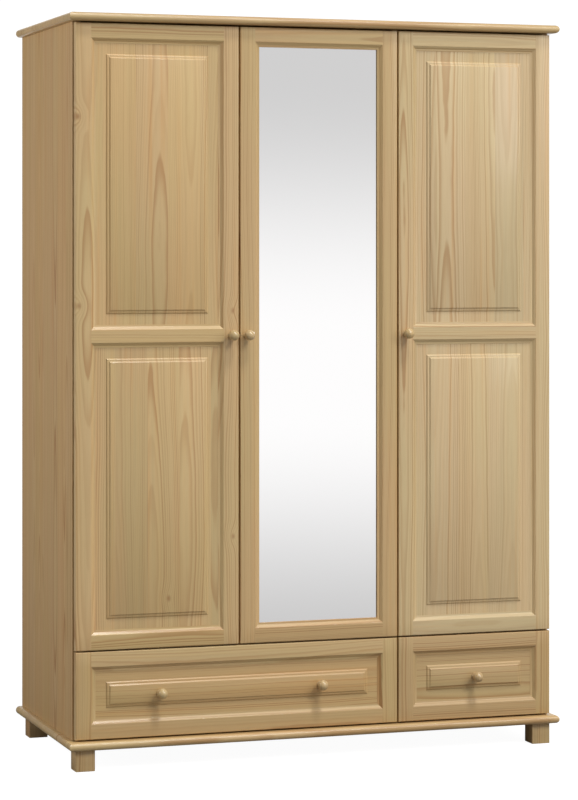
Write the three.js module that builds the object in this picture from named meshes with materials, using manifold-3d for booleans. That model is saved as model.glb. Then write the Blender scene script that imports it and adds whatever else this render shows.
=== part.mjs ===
// A free-standing pine wardrobe: three overlay doors, the middle one with a mirror, over two drawers.
// Millimetres. +Z is up, the front faces -Y, X runs across, and the origin is the centre of the
// whole object's box on the floor. Shapes are laid out with y = 0 on the front face of the closed
// doors, and the finished group is then moved back so that its box is centred on the origin.

import * as THREE from "three";
import { mergeVertices } from "three/addons/utils/BufferGeometryUtils.js";
import Module from "manifold-3d";

const wasm = await Module();
wasm.setup();

// ---------------------------------------------------------------- driving sizes

const GAP = 0.3; // clearance between pieces that rest on or sit in each other
const KNOB_SIDES = 20;
const CUP_SIDES = 28;

const overallHeight = 1900;
const facadeWidth = 1290; // from the left door's outer edge to the right door's
const carcassDepth = 560; // side panel, front edge to back edge
const doorThickness = 20;
const doorGap = 4; // between neighbouring doors and drawer fronts
const doorStandOff = 3; // air between a closed door and the carcass
const carcassShow = 3; // how far a side panel stands outside the door's edge
const drawerFrontHeight = 219;

const boardThickness = 21; // cornice and base
const boardOverhang = 17; // past the side panels, left and right
const boardFrontOverhang = 20; // past the face of the doors

const panelThickness = 18; // sides, partition, floors and shelves
const backThickness = 4;
const backRebateWidth = 9;
const backRebateDepth = 6;

const footHeight = 54;
const footSide = 50;
const rearFootInset = 25; // back of the rear foot to the back of the carcass
const footEdgeRadius = 2;

const stileWall = 4; // wood between a hinge's hole and the panel's groove, which sets how wide a stile is
const railFlat = 37; // flat part of the top and bottom rails, without their moulding
const midRailFlat = 31.5;
const midRailHeight = 1088.5; // centre of the doors' middle rail above the floor
const frameEdgeRadius = 2;

const mouldingWidth = 13;
const mouldingStep = 1.5; // drop at the moulding's outer line
const mouldingFillet = 1; // flat beside that line
const mouldingLand = 2; // flat at the inner lip
const lipDepth = 8; // front of the frame to the back of the lip
const lipLandDepth = 7;

const grooveReach = 9; // depth of the groove that holds a panel
const fieldDepth = 1.5; // front of the frame to a panel's raised field
const panelBackDepth = 14;
const panelBorder = 27; // flat border between the lip and the raised part
const raiseWidth = 10;
const raiseStep = 1.9; // each of the two small steps of the raised part

const mirrorSetback = 12; // lip depth in front of the mirror
const mirrorThickness = 4;
const mirrorRebate = 10;
const backingThickness = 3;

const knobBall = 27; // diameter
const knobReach = 37.5; // front of the door to the front of the ball
const knobNeck = 13; // diameter
const knobFoot = 17; // diameter where it meets the wood
const doorKnobHeight = 1089;
const doorKnobInset = 20; // centre to the door's free edge
const mirrorKnobInset = 17.5; // centre to the mirror door's free edge
const wideDrawerKnobSpread = 428;
const wideDrawerKnobShift = 3.5; // to the right of the front's middle

const drawerSideClearance = 13; // carcass to drawer box, where the runner fits
const drawerWall = 12;
const drawerBoxHeight = 150;
const drawerRearSpace = 76.7; // back of the closed box to the back panel
const drawerBoxLift = 25; // base board to the underside of the box
const drawerBottomThickness = 5;
const drawerBottomLift = 8;
const drawerGroove = 6;

const runnerSheet = 1.5;
const runnerHeight = 32;
const runnerLedge = 24;
const runnerSetback = 20; // from the carcass front edge
const runnerRearSpace = 64; // end of the runner to the back panel
const runnerPlay = 1; // ledge to the underside of the box

const shelfSetback = 25; // front edge of the loose shelves behind the carcass front
const narrowShelfCount = 3;
const hatSpace = 281; // clear height above the hat shelf
const railDiameter = 25;
const railDrop = 58; // hat shelf to the centre of the hanging rail

const hingeInset = 100; // hinge centre to the top or bottom of its door
const cupDiameter = 35;
const cupEdge = 5; // door's edge to the edge of the cup's hole
const cupBore = 13; // depth of the hole
const cupWall = 0.7;
const cupPlay = 0.3;
const cupFlange = 1;
const cupFlangeRadius = 19;
const cupWingLength = 56;
const cupWingWidth = 14;
const linkPinFromEdge = 12;
const linkPinSink = 9; // below the back face of the door
const linkCrank = 13.5;
const linkLength = 57;
const linkSheet = 3;
const linkWidth = 10;
const linkPlay = 1; // on each side of the link in the arm's channel
const armSheet = 1.5;
const armFront = 4; // from the carcass front edge
const armLength = 68;
const armNose = 14; // length of the shallow front end
const armPlateLength = 40;
const armPlateWidth = 44;
const armPlateThickness = 2;

// ---------------------------------------------------------------- derived places

const doorBack = doorThickness;
const carcassFront = doorBack + doorStandOff;
const carcassBack = carcassFront + carcassDepth;
const stileFlat = cupEdge + cupDiameter + stileWall + grooveReach - mouldingWidth;
const linkPinDepth = doorBack - linkPinSink;
const halfFacade = facadeWidth / 2;
const halfCarcass = halfFacade + carcassShow;
const halfBoard = halfCarcass + boardOverhang;
const sideInner = halfCarcass - panelThickness;

const baseTop = footHeight + boardThickness;
const corniceUnder = overallHeight - boardThickness;
const drawerBottomEdge = baseTop + doorGap;
const drawerTopEdge = drawerBottomEdge + drawerFrontHeight;
const doorBottomEdge = drawerTopEdge + doorGap;
const doorTopEdge = corniceUnder - doorGap;
const floorCentre = (drawerTopEdge + doorBottomEdge) / 2;
const floorTop = floorCentre + panelThickness / 2;
const floorUnder = floorCentre - panelThickness / 2;

const doorWidth = (facadeWidth - 2 * doorGap) / 3;
const leftDoor = [-halfFacade, -halfFacade + doorWidth];
const mirrorDoor = [-doorWidth / 2, doorWidth / 2];
const rightDoor = [halfFacade - doorWidth, halfFacade];
const partitionCentre = (mirrorDoor[1] + rightDoor[0]) / 2;
const partitionLeft = partitionCentre - panelThickness / 2;
const partitionRight = partitionCentre + panelThickness / 2;
const wideBay = [-sideInner, partitionLeft];
const narrowBay = [partitionRight, sideInner];

const backFace = carcassBack - backRebateDepth; // front of the back panel, and end of the shelves
const drawerBoxDepth = backFace - drawerRearSpace - doorBack - GAP;
const runnerLength = backFace - runnerRearSpace - carcassFront - runnerSetback;
const hatShelfTop = corniceUnder - hatSpace;
const hatShelfUnder = hatShelfTop - panelThickness;
const linkHeights = [doorTopEdge - hingeInset, doorBottomEdge + hingeInset];

// ---------------------------------------------------------------- geometry helpers

const pine = (name, color) =>
  new THREE.MeshStandardMaterial({ name, color, roughness: 0.45, metalness: 0 });
const FINISH = {
  pineFace: pine("pine_face", 0xc8ab80),
  pinePanel: pine("pine_panel", 0xcbae82),
  pineCarcass: pine("pine_carcass", 0xbf9f72),
  pineTurned: pine("pine_turned", 0xcfa873),
  plywood: pine("plywood", 0xb9986c),
  mirror: new THREE.MeshStandardMaterial({ name: "mirror", color: 0xf2f5f6, roughness: 0.02, metalness: 1 }),
  nickel: new THREE.MeshStandardMaterial({ name: "nickel", color: 0xb8b8b4, roughness: 0.3, metalness: 1 }),
  runner: new THREE.MeshStandardMaterial({ name: "runner", color: 0xe6e4de, roughness: 0.4, metalness: 0.2 }),
};

const group = new THREE.Group();

// Puts one named piece into the wardrobe.
function place(name, geometry, material) {
  const mesh = new THREE.Mesh(geometry, material);
  mesh.name = name;
  group.add(mesh);
  return mesh;
}

// A plain box between two corners, given as [low, high] along each axis.
function block([x0, x1], [y0, y1], [z0, z1]) {
  const geometry = new THREE.BoxGeometry(x1 - x0, y1 - y0, z1 - z0);
  return geometry.translate((x0 + x1) / 2, (y0 + y1) / 2, (z0 + z1) / 2);
}

// A rectangle in the two axes that a loft does not run along.
function rect([a0, a1], [b0, b1]) {
  return new THREE.Box2(new THREE.Vector2(a0, b0), new THREE.Vector2(a1, b1));
}

// The same rectangle, larger by d on every side, or smaller where d is negative.
function grown(rectangle, d) {
  return rectangle.clone().expandByScalar(d);
}

// A closed solid through rectangles at rising levels: along "y" they lie in XZ, along "z" in XY.
function loft(axis, levels) {
  const positions = [];
  for (const [level, { min, max }] of levels) {
    const corners = [
      [min.x, min.y],
      [max.x, min.y],
      [max.x, max.y],
      [min.x, max.y],
    ];
    for (const [a, b] of corners) positions.push(...(axis === "y" ? [a, level, b] : [a, b, level]));
  }
  const index = [];
  const quad = (a, b, c, d) => index.push(a, b, c, a, c, d);
  const last = 4 * (levels.length - 1);
  quad(3, 2, 1, 0);
  quad(last, last + 1, last + 2, last + 3);
  for (let i = 0; i < last; i += 4) {
    for (let k = 0; k < 4; k += 1) {
      const next = (k + 1) % 4;
      quad(i + k, i + next, i + 4 + next, i + 4 + k);
    }
  }
  if (axis === "y") index.reverse();
  const geometry = new THREE.BufferGeometry();
  geometry.setAttribute("position", new THREE.Float32BufferAttribute(positions, 3));
  geometry.setIndex(index);
  return geometry;
}

// Distances by which a quarter-round edge of radius r pulls in, as [depth, inset] pairs.
function quarterRound(r, steps) {
  const pairs = [];
  for (let i = 0; i <= steps; i += 1) {
    const turn = (Math.PI / 2) * (i / steps);
    pairs.push([r * (1 - Math.cos(turn)), r * (1 - Math.sin(turn))]);
  }
  return pairs;
}

function toSolid(geometry) {
  const plain = new THREE.BufferGeometry();
  plain.setAttribute("position", geometry.getAttribute("position"));
  plain.setIndex(geometry.index);
  const merged = mergeVertices(plain, 1e-4);
  return new wasm.Manifold(
    new wasm.Mesh({
      numProp: 3,
      vertProperties: new Float32Array(merged.attributes.position.array),
      triVerts: new Uint32Array(merged.index.array),
    }),
  );
}

function toGeometry(solid) {
  const { vertProperties, triVerts } = solid.getMesh();
  const geometry = new THREE.BufferGeometry();
  geometry.setAttribute("position", new THREE.BufferAttribute(new Float32Array(vertProperties), 3));
  geometry.setIndex(new THREE.BufferAttribute(new Uint32Array(triVerts), 1));
  geometry.computeVertexNormals();
  return geometry;
}

function cut(geometry, ...tools) {
  return toGeometry(tools.reduce((solid, tool) => solid.subtract(toSolid(tool)), toSolid(geometry)));
}

function join(geometry, ...others) {
  return toGeometry(others.reduce((solid, other) => solid.add(toSolid(other)), toSolid(geometry)));
}

// A solid of revolution whose axis points from the door towards the room, at (x, z).
function turnedTowardsFront(profile, segments, x, z) {
  const geometry = new THREE.LatheGeometry(profile, segments);
  return geometry.rotateX(Math.PI).translate(x, 0, z);
}

// ---------------------------------------------------------------- carcass

const PAST = 1; // how far a cutting tool runs past the face it starts from

// Cornice and base: a board with a half-round edge on its front and both ends.
function nosedBoard(z0) {
  const r = boardThickness / 2;
  const NOSE_STEPS = 6;
  const levels = [];
  for (let i = 0; i <= 2 * NOSE_STEPS; i += 1) {
    const turn = (Math.PI / 2) * (i / NOSE_STEPS - 1);
    const inset = r * (1 - Math.cos(turn));
    const plan = rect(
      [-halfBoard + inset, halfBoard - inset],
      [-boardFrontOverhang + inset, carcassBack],
    );
    levels.push([z0 + r + r * Math.sin(turn), plan]);
  }
  return loft("z", levels);
}

function sidePanel(side) {
  const outer = side * halfCarcass;
  const inner = side * sideInner;
  const height = [baseTop + GAP, corniceUnder - GAP];
  const board = block([outer, inner].sort((a, b) => a - b), [carcassFront, carcassBack], height);
  const rebateEdge = side * (sideInner + backRebateWidth);
  const rebate = block(
    [inner - side * PAST, rebateEdge].sort((a, b) => a - b),
    [backFace, carcassBack + PAST],
    [height[0] - PAST, height[1] + PAST],
  );
  return cut(board, rebate);
}

function shelf([x0, x1], [z0, z1], front) {
  return block([x0 + GAP, x1 - GAP], [front, backFace - GAP], [z0, z1]);
}

function foot(x, y) {
  const half = footSide / 2 - footEdgeRadius;
  const outline = new THREE.Shape();
  outline.absarc(half, half, footEdgeRadius, 0, Math.PI / 2);
  outline.absarc(-half, half, footEdgeRadius, Math.PI / 2, Math.PI);
  outline.absarc(-half, -half, footEdgeRadius, Math.PI, 1.5 * Math.PI);
  outline.absarc(half, -half, footEdgeRadius, 1.5 * Math.PI, 2 * Math.PI);
  const depth = footHeight - GAP;
  return new THREE.ExtrudeGeometry(outline, { depth, bevelEnabled: false, curveSegments: 3 }).translate(x, y, 0);
}

function buildCarcass() {
  place("cornice_board", nosedBoard(corniceUnder), FINISH.pineCarcass);
  place("base_board", nosedBoard(footHeight), FINISH.pineCarcass);
  place("left_side_panel", sidePanel(-1), FINISH.pineCarcass);
  place("right_side_panel", sidePanel(1), FINISH.pineCarcass);
  const upright = [baseTop + GAP, corniceUnder - GAP];
  const partition = block([partitionLeft, partitionRight], [carcassFront, backFace - GAP], upright);
  place("partition_panel", partition, FINISH.pineCarcass);

  const backEdge = sideInner + backRebateWidth - GAP;
  const back = block([-backEdge, backEdge], [backFace, backFace + backThickness], upright);
  place("back_panel", back, FINISH.plywood);

  place("wide_bay_floor", shelf(wideBay, [floorUnder, floorTop], carcassFront), FINISH.pineCarcass);
  place("narrow_bay_floor", shelf(narrowBay, [floorUnder, floorTop], carcassFront), FINISH.pineCarcass);
  const shelfFront = carcassFront + shelfSetback;
  place("hat_shelf", shelf(wideBay, [hatShelfUnder, hatShelfTop], shelfFront), FINISH.pineCarcass);
  const clear = (corniceUnder - floorTop - narrowShelfCount * panelThickness) / (narrowShelfCount + 1);
  for (let i = 0; i < narrowShelfCount; i += 1) {
    const z = floorTop + clear * (i + 1) + panelThickness * i;
    place(`narrow_shelf_${i + 1}`, shelf(narrowBay, [z, z + panelThickness], shelfFront), FINISH.pineCarcass);
  }

  const railLength = wideBay[1] - wideBay[0] - 2 * GAP;
  const rail = new THREE.CylinderGeometry(railDiameter / 2, railDiameter / 2, railLength, 20);
  rail.rotateZ(Math.PI / 2);
  rail.translate((wideBay[0] + wideBay[1]) / 2, (carcassFront + backFace) / 2, hatShelfUnder - railDrop);
  place("hanging_rail", rail, FINISH.pineTurned);

  const footX = halfFacade - footSide / 2;
  const frontFootY = footSide / 2;
  const rearFootY = carcassBack - rearFootInset - footSide / 2;
  place("front_left_foot", foot(-footX, frontFootY), FINISH.pineCarcass);
  place("front_right_foot", foot(footX, frontFootY), FINISH.pineCarcass);
  place("rear_left_foot", foot(-footX, rearFootY), FINISH.pineCarcass);
  place("rear_right_foot", foot(footX, rearFootY), FINISH.pineCarcass);
}

// ---------------------------------------------------------------- framed doors and fronts

// A door-thick board whose front edges are rounded.
function frameBlank(outline) {
  const levels = quarterRound(frameEdgeRadius, 3).map(([depth, inset]) => [depth, grown(outline, -inset)]);
  levels.push([doorBack, outline]);
  return loft("y", levels);
}

// The moulding round an opening, as [depth, growth of the opening] from the front to the lip.
function mouldingSteps() {
  const CURVE_STEPS = 4;
  const start = mouldingWidth - mouldingFillet;
  const steps = [
    [-PAST, mouldingWidth],
    [mouldingStep, mouldingWidth],
  ];
  for (let i = 0; i <= CURVE_STEPS; i += 1) {
    const turn = (Math.PI / 2) * (i / CURVE_STEPS);
    const depth = mouldingStep + (lipLandDepth - mouldingStep) * (1 - Math.cos(turn));
    steps.push([depth, start - (start - mouldingLand) * Math.sin(turn)]);
  }
  steps.push([lipLandDepth, 0]);
  return steps;
}

// What is cut from a frame for a wooden panel: moulding, lip, groove and the opening behind.
function panelOpening(lip) {
  const levels = mouldingSteps().map(([depth, growth]) => [depth, grown(lip, growth)]);
  levels.push([lipDepth, lip]);
  levels.push([lipDepth, grown(lip, grooveReach)]);
  levels.push([panelBackDepth + GAP, grown(lip, grooveReach)]);
  levels.push([panelBackDepth + GAP, lip]);
  levels.push([doorBack + PAST, lip]);
  return loft("y", levels);
}

// The same for the mirror, with a rebate that is open to the back.
function mirrorOpening(lip) {
  const levels = mouldingSteps().map(([depth, growth]) => [depth, grown(lip, growth)]);
  levels.push([mirrorSetback, lip]);
  levels.push([mirrorSetback, grown(lip, mirrorRebate)]);
  levels.push([doorBack + PAST, grown(lip, mirrorRebate)]);
  return loft("y", levels);
}

// A wooden panel with a raised field, held in the groove round a lip.
function raisedPanel(lip) {
  const field = grown(lip, -(panelBorder + raiseWidth));
  const border = lipDepth + GAP;
  return loft("y", [
    [fieldDepth, field],
    [fieldDepth + raiseStep, field],
    [border - raiseStep, grown(field, raiseWidth)],
    [border, grown(field, raiseWidth)],
    [border, grown(lip, grooveReach - GAP)],
    [panelBackDepth, grown(lip, grooveReach - GAP)],
  ]);
}

// A turned knob: foot, waist and ball, standing off the front face at (x, z).
function knob(x, z) {
  const ball = knobBall / 2;
  const centre = knobReach - ball;
  const neck = knobNeck / 2;
  const BALL_STEPS = 9;
  const WAIST_HEIGHT = 6;
  const meet = Math.asin(neck / ball); // where the waist runs into the ball
  const profile = [
    new THREE.Vector2(0, GAP),
    new THREE.Vector2(knobFoot / 2, GAP),
    new THREE.Vector2(knobFoot / 2, 2),
    new THREE.Vector2(neck, WAIST_HEIGHT),
  ];
  for (let i = 0; i < BALL_STEPS; i += 1) {
    const turn = meet + (Math.PI - meet) * (i / BALL_STEPS);
    profile.push(new THREE.Vector2(ball * Math.sin(turn), centre - ball * Math.cos(turn)));
  }
  profile.push(new THREE.Vector2(0, knobReach));
  return turnedTowardsFront(profile, KNOB_SIDES, x, z);
}

// The lip rectangles of a framed front: one opening, or two where it has a middle rail.
function lips([x0, x1], [z0, z1], hasMidRail) {
  const stile = stileFlat + mouldingWidth;
  const rail = railFlat + mouldingWidth;
  const across = [x0 + stile, x1 - stile];
  if (!hasMidRail) return [rect(across, [z0 + rail, z1 - rail])];
  const half = midRailFlat / 2 + mouldingWidth;
  return [rect(across, [midRailHeight + half, z1 - rail]), rect(across, [z0 + rail, midRailHeight - half])];
}

// ---------------------------------------------------------------- hinges

// Laid out for a hinge on a door's left edge: u runs from that edge along the door, y from its face.
// A turn of hinge "right" mirrors u.
const cupCentre = cupEdge + cupDiameter / 2;
const linkRise = Math.hypot(linkPinFromEdge, linkPinDepth); // furthest that the pin swings from the edge
const armInside = linkRise + linkCrank + linkSheet / 2 + GAP;

// The holes in a door's back face for its hinge cups.
function cupHoles(edge, inward) {
  return linkHeights.map((z) => {
    const depth = cupBore + PAST;
    const hole = new THREE.CylinderGeometry(cupDiameter / 2, cupDiameter / 2, depth, CUP_SIDES);
    return hole.translate(edge + inward * cupCentre, doorBack - cupBore + depth / 2, z);
  });
}

function hingeCup(edge, inward, z) {
  const outside = cupDiameter / 2 - cupPlay;
  const inside = outside - cupWall;
  const bottom = doorBack - cupBore + cupPlay;
  const seat = doorBack + GAP;
  const rim = seat + cupFlange;
  const points = [
    [0, bottom],
    [outside, bottom],
    [outside, seat],
    [cupFlangeRadius, seat],
    [cupFlangeRadius, rim],
    [inside, rim],
    [inside, bottom + cupWall],
    [0, bottom + cupWall],
  ];
  const cup = new THREE.LatheGeometry(points.map(([r, y]) => new THREE.Vector2(r, y)), CUP_SIDES);
  const wing = new THREE.Shape();
  const half = cupWingLength / 2 - cupWingWidth / 2;
  wing.absarc(half, 0, cupWingWidth / 2, -Math.PI / 2, Math.PI / 2);
  wing.absarc(-half, 0, cupWingWidth / 2, Math.PI / 2, 1.5 * Math.PI);
  const mouth = new THREE.Path();
  mouth.absarc(0, 0, inside + cupWall / 2, 0, 2 * Math.PI, true);
  const plate = new THREE.ExtrudeGeometry(wing, { depth: cupFlange, bevelEnabled: false, curveSegments: 6 });
  plate.rotateY(Math.PI / 2).rotateZ(Math.PI / 2).translate(0, seat, 0);
  const well = new THREE.CylinderGeometry(inside, inside, 4 * cupFlange, CUP_SIDES).translate(0, seat, 0);
  return join(cup, cut(plate, well)).translate(edge + inward * cupCentre, 0, z);
}

// The cranked link between cup and arm. It keeps its direction while the door turns.
function hingeLink(edge, inward, z) {
  const half = linkSheet / 2;
  const u = linkPinFromEdge;
  const y = linkPinDepth;
  const knee = u + linkCrank;
  const outline = [
    [u - half, y - half],
    [knee + half, y - half],
    [knee + half, y + linkLength],
    [knee - half, y + linkLength],
    [knee - half, y + half],
    [u - half, y + half],
  ];
  return sideways(outline, linkWidth, edge, inward, z);
}

// Extrudes an outline given in (u, y) by a height centred on z, mirrored for a right-hand edge.
function sideways(outline, height, edge, inward, z) {
  const points = outline.map(([u, y]) => new THREE.Vector2(edge + inward * u, y));
  if (inward < 0) points.reverse();
  const shape = new THREE.Shape(points);
  return new THREE.ExtrudeGeometry(shape, { depth: height, bevelEnabled: false }).translate(0, 0, z - height / 2);
}

// The hinge arm: a channel on a plate that is screwed to the carcass, overlay from the door's edge.
function hingeArm(edge, inward, z, overlay) {
  const inside = linkWidth / 2 + linkPlay;
  const front = carcassFront + armFront;
  const back = front + armLength;
  const face = overlay + GAP;
  const top = armInside + armSheet;
  const plateTop = face + armPlateThickness;
  const middle = (front + back) / 2;
  const cheeks = [
    [top, front],
    [top, back],
    [face, back],
    [face, front + armNose],
    [linkPinFromEdge + linkCrank - 2 * linkSheet, front],
  ];
  const arm = sideways(cheeks, 2 * (inside + armSheet), edge, inward, z);
  const channel = [
    [armInside, front - PAST],
    [armInside, back + PAST],
    [plateTop, back + PAST],
    [plateTop, front - PAST],
  ];
  const plate = [
    [plateTop, middle - armPlateLength / 2],
    [plateTop, middle + armPlateLength / 2],
    [face, middle + armPlateLength / 2],
    [face, middle - armPlateLength / 2],
  ];
  const hollow = sideways(channel, 2 * inside, edge, inward, z);
  return join(cut(arm, hollow), sideways(plate, armPlateWidth, edge, inward, z));
}

// All hinges of one door: a cup and an arm at each height, and the link of the top one.
function hinges(door, edge, inward, overlay) {
  const labels = ["top", "bottom"];
  linkHeights.forEach((z, i) => {
    place(`${door}_hinge_cup_${labels[i]}`, hingeCup(edge, inward, z), FINISH.nickel);
    place(`${door}_hinge_arm_${labels[i]}`, hingeArm(edge, inward, z, overlay), FINISH.nickel);
  });
  place(`${door}_hinge_link_top`, hingeLink(edge, inward, linkHeights[0]), FINISH.nickel);
}

// ---------------------------------------------------------------- doors

const doorHeightSpan = [doorBottomEdge, doorTopEdge];

function panelDoor(door, span, edge, inward, overlay) {
  const openings = lips(span, doorHeightSpan, true);
  const blank = frameBlank(rect(span, doorHeightSpan));
  const frame = cut(blank, ...openings.map(panelOpening), ...cupHoles(edge, inward));
  place(`${door}_frame`, frame, FINISH.pineFace);
  place(`${door}_upper_panel`, raisedPanel(openings[0]), FINISH.pinePanel);
  place(`${door}_lower_panel`, raisedPanel(openings[1]), FINISH.pinePanel);
  const free = inward > 0 ? span[1] - doorKnobInset : span[0] + doorKnobInset;
  place(`${door}_knob`, knob(free, doorKnobHeight), FINISH.pineTurned);
  hinges(door, edge, inward, overlay);
}

function buildMirrorDoor(edge, inward, overlay) {
  const [lip] = lips(mirrorDoor, doorHeightSpan, false);
  const blank = frameBlank(rect(mirrorDoor, doorHeightSpan));
  place("mirror_door_frame", cut(blank, mirrorOpening(lip), ...cupHoles(edge, inward)), FINISH.pineFace);
  const sheet = grown(lip, mirrorRebate - GAP);
  const glassFront = mirrorSetback + GAP;
  const glassBack = glassFront + mirrorThickness;
  place("mirror_glass", loft("y", [[glassFront, sheet], [glassBack, sheet]]), FINISH.mirror);
  const boardFront = glassBack + GAP;
  const backing = loft("y", [[boardFront, sheet], [boardFront + backingThickness, sheet]]);
  place("mirror_backing", backing, FINISH.plywood);
  place("mirror_door_knob", knob(mirrorDoor[0] + mirrorKnobInset, doorKnobHeight), FINISH.pineTurned);
  hinges("mirror_door", edge, inward, overlay);
}

// ---------------------------------------------------------------- drawers

function drawer(name, span, bay, knobPlaces) {
  const height = [drawerBottomEdge, drawerTopEdge];
  const [lip] = lips(span, height, false);
  place(`${name}_front_frame`, cut(frameBlank(rect(span, height)), panelOpening(lip)), FINISH.pineFace);
  place(`${name}_front_panel`, raisedPanel(lip), FINISH.pinePanel);
  const middle = (height[0] + height[1]) / 2;
  knobPlaces.forEach((x, i) => {
    const label = knobPlaces.length > 1 ? `_${["left", "right"][i]}` : "";
    place(`${name}_knob${label}`, knobOnField(x, middle), FINISH.pineTurned);
  });

  const across = [bay[0] + drawerSideClearance, bay[1] - drawerSideClearance];
  const front = doorBack + GAP;
  const along = [front, front + drawerBoxDepth];
  const under = baseTop + drawerBoxLift;
  const up = [under, under + drawerBoxHeight];
  const inside = ([low, high]) => [low + drawerWall, high - drawerWall];
  const walls = block(across, along, up);
  const hollow = block(inside(across), inside(along), [up[0] - PAST, up[1] + PAST]);
  const wider = ([low, high], d) => [low - d, high + d];
  const bottomLow = under + drawerBottomLift;
  const bottomHigh = bottomLow + drawerBottomThickness;
  const slot = block(
    wider(inside(across), drawerGroove),
    wider(inside(along), drawerGroove),
    [bottomLow - GAP, bottomHigh + GAP],
  );
  place(`${name}_box`, cut(walls, hollow, slot), FINISH.pineCarcass);
  const tongue = drawerGroove - GAP;
  const bottom = block(wider(inside(across), tongue), wider(inside(along), tongue), [bottomLow, bottomHigh]);
  place(`${name}_bottom`, bottom, FINISH.plywood);

  place(`${name}_runner_left`, runner(bay[0], 1, under), FINISH.runner);
  place(`${name}_runner_right`, runner(bay[1], -1, under), FINISH.runner);
}

// A drawer's knob stands on the raised field, which lies a little behind the frame's face.
function knobOnField(x, z) {
  return knob(x, z).translate(0, fieldDepth, 0);
}

// An angle of sheet metal on a bay's wall, whose ledge carries the drawer box.
function runner(wall, inward, boxUnder) {
  const top = boxUnder - runnerPlay;
  const bottom = top - runnerSheet;
  const u = (distance) => wall + inward * distance;
  const outline = [
    [u(GAP), bottom],
    [u(runnerLedge), bottom],
    [u(runnerLedge), top],
    [u(GAP + runnerSheet), top],
    [u(GAP + runnerSheet), bottom + runnerHeight],
    [u(GAP), bottom + runnerHeight],
  ].map(([x, z]) => new THREE.Vector2(x, z));
  if (inward < 0) outline.reverse();
  const strip = new THREE.ExtrudeGeometry(new THREE.Shape(outline), { depth: runnerLength, bevelEnabled: false });
  // The outline's second axis becomes height, and the extrusion runs to the back.
  return strip.rotateX(Math.PI / 2).translate(0, carcassFront + runnerSetback + runnerLength, 0);
}

// ---------------------------------------------------------------- the wardrobe

buildCarcass();
const sideOverlay = sideInner; // inner face of a side panel
panelDoor("left_door", leftDoor, leftDoor[0], 1, halfFacade - sideOverlay);
buildMirrorDoor(mirrorDoor[1], -1, mirrorDoor[1] - partitionLeft);
panelDoor("right_door", rightDoor, rightDoor[1], -1, halfFacade - sideOverlay);
const wideSpan = [leftDoor[0], mirrorDoor[1]];
const wideCentre = (wideSpan[0] + wideSpan[1]) / 2;
const wideKnobs = [-1, 1].map((side) => wideCentre + wideDrawerKnobShift + (side * wideDrawerKnobSpread) / 2);
drawer("wide_drawer", wideSpan, wideBay, wideKnobs);
drawer("narrow_drawer", rightDoor, narrowBay, [(rightDoor[0] + rightDoor[1]) / 2]);

// The front of the box is the door knobs' front, and its back is the carcass's.
group.position.y = (knobReach - carcassBack) / 2;

export default group;
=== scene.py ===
"""A pine wardrobe with three doors, a mirror and two drawers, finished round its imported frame.

Every size is in metres. Boards, framed fronts, raised panels, knobs and fittings are made here
and take their places from the frame's own boxes.
"""

import itertools
import logging
import math
from collections.abc import Callable, Sequence
from dataclasses import dataclass, field
from enum import Enum

import bmesh
import bpy
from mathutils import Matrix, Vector


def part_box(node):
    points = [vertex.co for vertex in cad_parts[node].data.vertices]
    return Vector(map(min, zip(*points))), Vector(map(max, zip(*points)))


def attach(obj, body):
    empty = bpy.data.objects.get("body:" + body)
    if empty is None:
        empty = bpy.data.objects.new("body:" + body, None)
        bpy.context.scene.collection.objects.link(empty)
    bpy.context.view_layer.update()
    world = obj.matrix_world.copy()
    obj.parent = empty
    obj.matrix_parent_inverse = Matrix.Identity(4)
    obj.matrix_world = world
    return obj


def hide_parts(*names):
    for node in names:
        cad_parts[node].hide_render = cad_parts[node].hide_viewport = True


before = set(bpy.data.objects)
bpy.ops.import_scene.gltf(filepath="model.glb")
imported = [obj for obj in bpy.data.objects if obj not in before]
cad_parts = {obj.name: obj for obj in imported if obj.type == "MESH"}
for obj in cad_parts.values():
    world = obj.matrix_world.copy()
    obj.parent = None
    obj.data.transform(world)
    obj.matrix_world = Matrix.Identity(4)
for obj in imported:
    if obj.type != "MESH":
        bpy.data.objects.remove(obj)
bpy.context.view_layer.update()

LOG = logging.getLogger("wardrobe")
MM = 0.001
GAP = 0.3 * MM  # air between pieces that touch, as in the frame
BOARD_MARK = "board"  # face attribute: seed, middle of the board, width of its staves
ONE_BOARD = 1.0  # stave width that leaves a piece in one board
MIDDLE_HINGE_HEIGHT = 1.235  # the frame has the top and bottom hinges only
SAME = 1e-6  # two places closer than this are one
FACING = 0.9  # least share of a normal along an axis in a face that looks that way
SMOOTH_ANGLE = 32.0  # degrees; edges sharper than this stay sharp
PANEL_GROOVE = [(8 * MM, 0.0), (8 * MM, 9 * MM), (14.3 * MM, 9 * MM), (14.3 * MM, 0.0)]
MIRROR_REBATE = [(12 * MM, 0.0), (12 * MM, 10 * MM)]  # both: depth behind the face, growth past the lip
TO_RIGHT, TO_BACK = Vector((1.0, 0.0, 0.0)), Vector((0.0, 1.0, 0.0))

Colour = tuple[float, float, float, float]
Material = bpy.types.Material
Socket = bpy.types.NodeSocket
Triple = tuple[float, float, float]
Steps = Sequence[tuple[float, float]]
Test = Callable[[Vector, Vector], bool]


# ---- shader expressions


def _operation(kind: str, swapped: bool = False) -> Callable[..., "Signal"]:
    """A method of Signal that adds one kind of Math node.

    Args:
        kind: The node's operation.
        swapped: Whether the other value comes first.

    Returns:
        The method.
    """

    def method(self: "Signal", *other: "Signal | float") -> "Signal":
        """Adds the Math node."""
        values = (*other, self) if swapped else (self, *other)
        return self.shader.value("Math", dict(enumerate(values)), operation=kind)

    return method


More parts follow.
